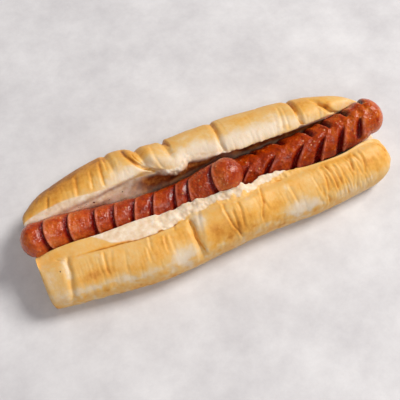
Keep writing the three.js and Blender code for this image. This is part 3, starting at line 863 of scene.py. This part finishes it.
def sausageMaterial(sausage):
    # Pork frankfurter in a thin casing, fried: a tight oily skin that browns in patches, with
    # blisters of fat painted pale gold as painted glints, a pale pink painted highlight on the
    # cuts' rims, char and painted shade in the slits, and dark red meat in the cuts
    material, tree, surface = newMaterial(sausage["material"])
    place = addNode(tree, "TexCoord").outputs["Object"]
    cut = addNode(tree, "Attribute", {"attribute_name": "cut"}).outputs["Fac"]
    rim = addNode(tree, "Attribute", {"attribute_name": "rim"}).outputs["Fac"]
    char = addNode(tree, "Attribute", {"attribute_name": "char"}).outputs["Fac"]
    pale = addNode(tree, "Attribute", {"attribute_name": "pale"}).outputs["Fac"]
    patch = addNode(tree, "TexNoise", {"Scale": 160, "Detail": 5, "Roughness": 0.62},  # 6 mm
                    {"Vector": place}).outputs["Fac"]
    speck = addNode(tree, "TexNoise", {"Scale": 700, "Detail": 3, "Roughness": 0.6},  # 1.4 mm
                    {"Vector": place}).outputs["Fac"]
    grain = addNode(tree, "TexVoronoi", {"Scale": 420}, {"Vector": place}).outputs["Distance"]  # 2.4 mm
    patchy = addNode(tree, "Math", {"operation": "MULTIPLY_ADD", 1: 1.1, 2: -0.55}, {0: patch})
    specky = addNode(tree, "Math", {"operation": "MULTIPLY_ADD", 1: 0.24, 2: -0.12}, {0: speck})
    uneven = addNode(tree, "Math", {"operation": "ADD"}, {0: patchy.outputs[0], 1: specky.outputs[0]})
    tone = addNode(tree, "Math", {"operation": "ADD"}, {0: uneven.outputs[0], 1: pale})
    casing = addNode(tree, "ValToRGB", {"stops": sausage["casing"]}, {"Fac": tone.outputs[0]})

    cell = addNode(tree, "TexVoronoi", {"Scale": 300}, {"Vector": place})  # 3.3 mm
    pick = addNode(tree, "SeparateColor", links={"Color": cell.outputs["Color"]})
    few = addNode(tree, "MapRange", {"From Min": 0.62, "From Max": 0.7}, {"Value": pick.outputs[0]})
    dot = addNode(tree, "MapRange", {"From Min": 0.3, "From Max": 0.12}, {"Value": cell.outputs["Distance"]})
    blister = addNode(tree, "Math", {"operation": "MULTIPLY"}, {0: few.outputs[0], 1: dot.outputs[0]})
    # the fat blisters are painted pale gold: the fat's colour with a painted glint on it
    blisterGlint = addNode(tree, "Math", {"operation": "MULTIPLY", 1: 0.5}, {0: blister.outputs[0]})
    glintedCasing = addNode(tree, "Mix", {"data_type": "RGBA", 7: linear("#eda868")},
                    {0: blisterGlint.outputs[0], 6: casing.outputs[0]})
    # a pale pink painted highlight along the raised rims of the cuts
    paintedRimHighlight = addNode(tree, "Math", {"operation": "MULTIPLY", 1: sausage["rimHighlight"]}, {0: rim})
    skin = addNode(tree, "Mix", {"data_type": "RGBA", 7: linear("#d58c78")},
                   {0: paintedRimHighlight.outputs[0], 6: glintedCasing.outputs[2]})

    meatStops = [(0.3, "#5a0500"), (0.6, "#801006"), (0.8, "#a8361f")]
    meat = addNode(tree, "ValToRGB", {"stops": meatStops}, {"Fac": speck})
    inCut = addNode(tree, "MapRange", {"From Min": 0.03, "From Max": 0.36}, {"Value": cut})
    scored = addNode(tree, "Mix", {"data_type": "RGBA"},
                     {0: inCut.outputs[0], 6: skin.outputs[2], 7: meat.outputs[0]})
    # char, and painted shade in the lower sausage's slits and hollows, darken the colour to near black
    colour = addNode(tree, "Mix", {"data_type": "RGBA", 7: linear("#340500")},
                     {0: char, 6: scored.outputs[2]})
    rough = addNode(tree, "MapRange", {"From Min": 0.35, "From Max": 0.65, "To Min": 0.12, "To Max": 0.3},
                    {"Value": patch})
    fine = addNode(tree, "Math", {"operation": "ADD"}, {0: speck, 1: grain})
    height = addNode(tree, "Math", {"operation": "ADD"}, {0: fine.outputs[0], 1: blister.outputs[0]})
    bump = addNode(tree, "Bump", {"Strength": 0.5, "Distance": 0.001}, {"Height": height.outputs[0]})
    tree.links.new(colour.outputs[2], surface.inputs["Base Color"])
    tree.links.new(rough.outputs[0], surface.inputs["Roughness"])
    tree.links.new(bump.outputs[0], surface.inputs["Normal"])
    surface.inputs["IOR"].default_value = 1.45
    surface.inputs["Specular IOR Level"].default_value = 0.2 + sausage["shine"] / 2
    surface.inputs["Coat Weight"].default_value = sausage["shine"]
    surface.inputs["Coat Roughness"].default_value = 0.25
    surface.inputs["Subsurface Weight"].default_value = 0.25
    surface.inputs["Subsurface Radius"].default_value = (0.003, 0.0007, 0.0003)
    surface.inputs["Subsurface Scale"].default_value = 1
    return material


def speckMaterial():
    # Crumbs of burnt spice and casing from the pan, dry and dark
    material, tree, surface = newMaterial("burnt_spice_specks")
    place = addNode(tree, "TexCoord").outputs["Object"]
    grain = addNode(tree, "TexNoise", {"Scale": 1800, "Detail": 2}, {"Vector": place})  # 0.6 mm
    stops = [(0.35, "#2a1006"), (0.65, "#6a3214")]
    tint = addNode(tree, "ValToRGB", {"stops": stops}, {"Fac": grain.outputs["Fac"]})
    tree.links.new(tint.outputs[0], surface.inputs["Base Color"])
    surface.inputs["Roughness"].default_value = 0.6
    return material


def dress(piece, material, node=None):
    piece.data.materials.append(material)
    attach(piece, "root")
    if node:
        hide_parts(node)


upperSkin, upperFields = sausageSkin(upperSausage)
upper = closedSkin("sausageUpper", upperSkin, upperFields)
dress(upper, sausageMaterial(upperSausage), "sausage_upper")
print("upper sausage", upperSkin.shape)

lowerSkin, lowerFields = sausageSkin(lowerSausage)
lower = closedSkin("sausageLower", lowerSkin, lowerFields)
dress(lower, sausageMaterial(lowerSausage), "sausage_lower")
print("lower sausage", lowerSkin.shape)

bread, breadSkin, breadX, breadPlace = makeRoll()
dress(bread, breadMaterial(), "roll")
print("roll", len(bread.data.vertices))

dress(makeSpecks(breadSkin, breadX, breadPlace), speckMaterial())
print("specks")


studio = {
    "elevation": 61.5, "azimuth": -22.5, "distance": 0.519, "lens": 64.9, "sensor": 36,
    "imageSize": 400, "aimHeight": 0.02,
    "aim": (211.0, 186.9),  # where the point at aimHeight over the origin lies in the image
    "floorSize": 3, "floorDrop": 0.0002, "floorStops": [(0.34, "#cdcbce"), (0.66, "#e7e6e8")],
    "key": (2.04, 0.24, 2.11), "keySize": 1.1, "keyPower": 82, "keyColour": (1, 0.975, 0.93),
    "top": (-0.2, -0.8, 1.15), "topSize": 0.28, "topPower": 4.6, "topColour": (1, 0.96, 0.92),
    "fill": 0.206, "fillColour": (0.98, 0.94, 1, 1),
}


def standing(*axes):
    # a placement from the directions of its axes and its origin
    return Matrix([list(row) for row in np.array(axes).T] + [[0, 0, 0, 1]])


def softLight(name):
    # a square lamp that shines at the origin
    lamp = bpy.data.objects.new(name, bpy.data.lights.new(name, "AREA"))
    bpy.context.scene.collection.objects.link(lamp)
    lamp.data.size = studio[name + "Size"]
    lamp.data.energy = studio[name + "Power"]
    lamp.data.color = studio[name + "Colour"]
    way = np.array(studio[name])
    back = way / np.linalg.norm(way)
    side = np.cross([0, 0, 1], back)
    side /= np.linalg.norm(side)
    lamp.matrix_world = standing(side, np.cross(back, side), back, way)


def makeCamera():
    e = math.radians(studio["elevation"])
    a = math.radians(studio["azimuth"])
    forward = -np.array([math.sin(a) * math.cos(e), -math.cos(a) * math.cos(e), math.sin(e)])
    right = np.cross(forward, [0, 0, 1])
    right /= np.linalg.norm(right)
    up = np.cross(right, forward)
    focal = studio["imageSize"] * studio["lens"] / studio["sensor"]
    offX = (studio["aim"][0] - studio["imageSize"] / 2) / focal * studio["distance"]
    offY = -(studio["aim"][1] - studio["imageSize"] / 2) / focal * studio["distance"]
    spot = np.array([0, 0, studio["aimHeight"]]) - offX * right - offY * up - studio["distance"] * forward
    camera = bpy.data.objects.new("camera", bpy.data.cameras.new("camera"))
    bpy.context.scene.collection.objects.link(camera)
    camera.data.lens = studio["lens"]
    camera.data.sensor_width = studio["sensor"]
    camera.data.clip_start = 0.01
    camera.matrix_world = standing(right, up, -forward, spot)
    bpy.context.scene.camera = camera


def makeFloor():
    # Pale plaster, trowelled smooth: matte, with faint clouds
    bm = bmesh.new()
    bmesh.ops.create_grid(bm, x_segments=1, y_segments=1, size=studio["floorSize"])
    mesh = bpy.data.meshes.new("table")
    bm.to_mesh(mesh)
    bm.free()
    mesh.transform(Matrix.Translation((0, 0, -studio["floorDrop"])))
    floor = bpy.data.objects.new("table", mesh)
    bpy.context.scene.collection.objects.link(floor)
    material, tree, surface = newMaterial("pale_plaster")
    place = addNode(tree, "TexCoord").outputs["Object"]
    cloud = addNode(tree, "TexNoise", {"Scale": 14, "Detail": 10, "Roughness": 0.72},  # 70 mm
                    {"Vector": place})
    tint = addNode(tree, "ValToRGB", {"stops": studio["floorStops"]}, {"Fac": cloud.outputs["Fac"]})
    tree.links.new(tint.outputs[0], surface.inputs["Base Color"])
    surface.inputs["Roughness"].default_value = 0.7
    mesh.materials.append(material)


def makeSky():
    world = bpy.data.worlds.new("sky")
    world.use_nodes = True
    background = world.node_tree.nodes["Background"]
    background.inputs["Color"].default_value = studio["fillColour"]
    background.inputs["Strength"].default_value = studio["fill"]
    bpy.context.scene.world = world
    bpy.context.scene.view_settings.view_transform = "Standard"


makeCamera()
makeFloor()
softLight("key")
softLight("top")
makeSky()
print("studio")
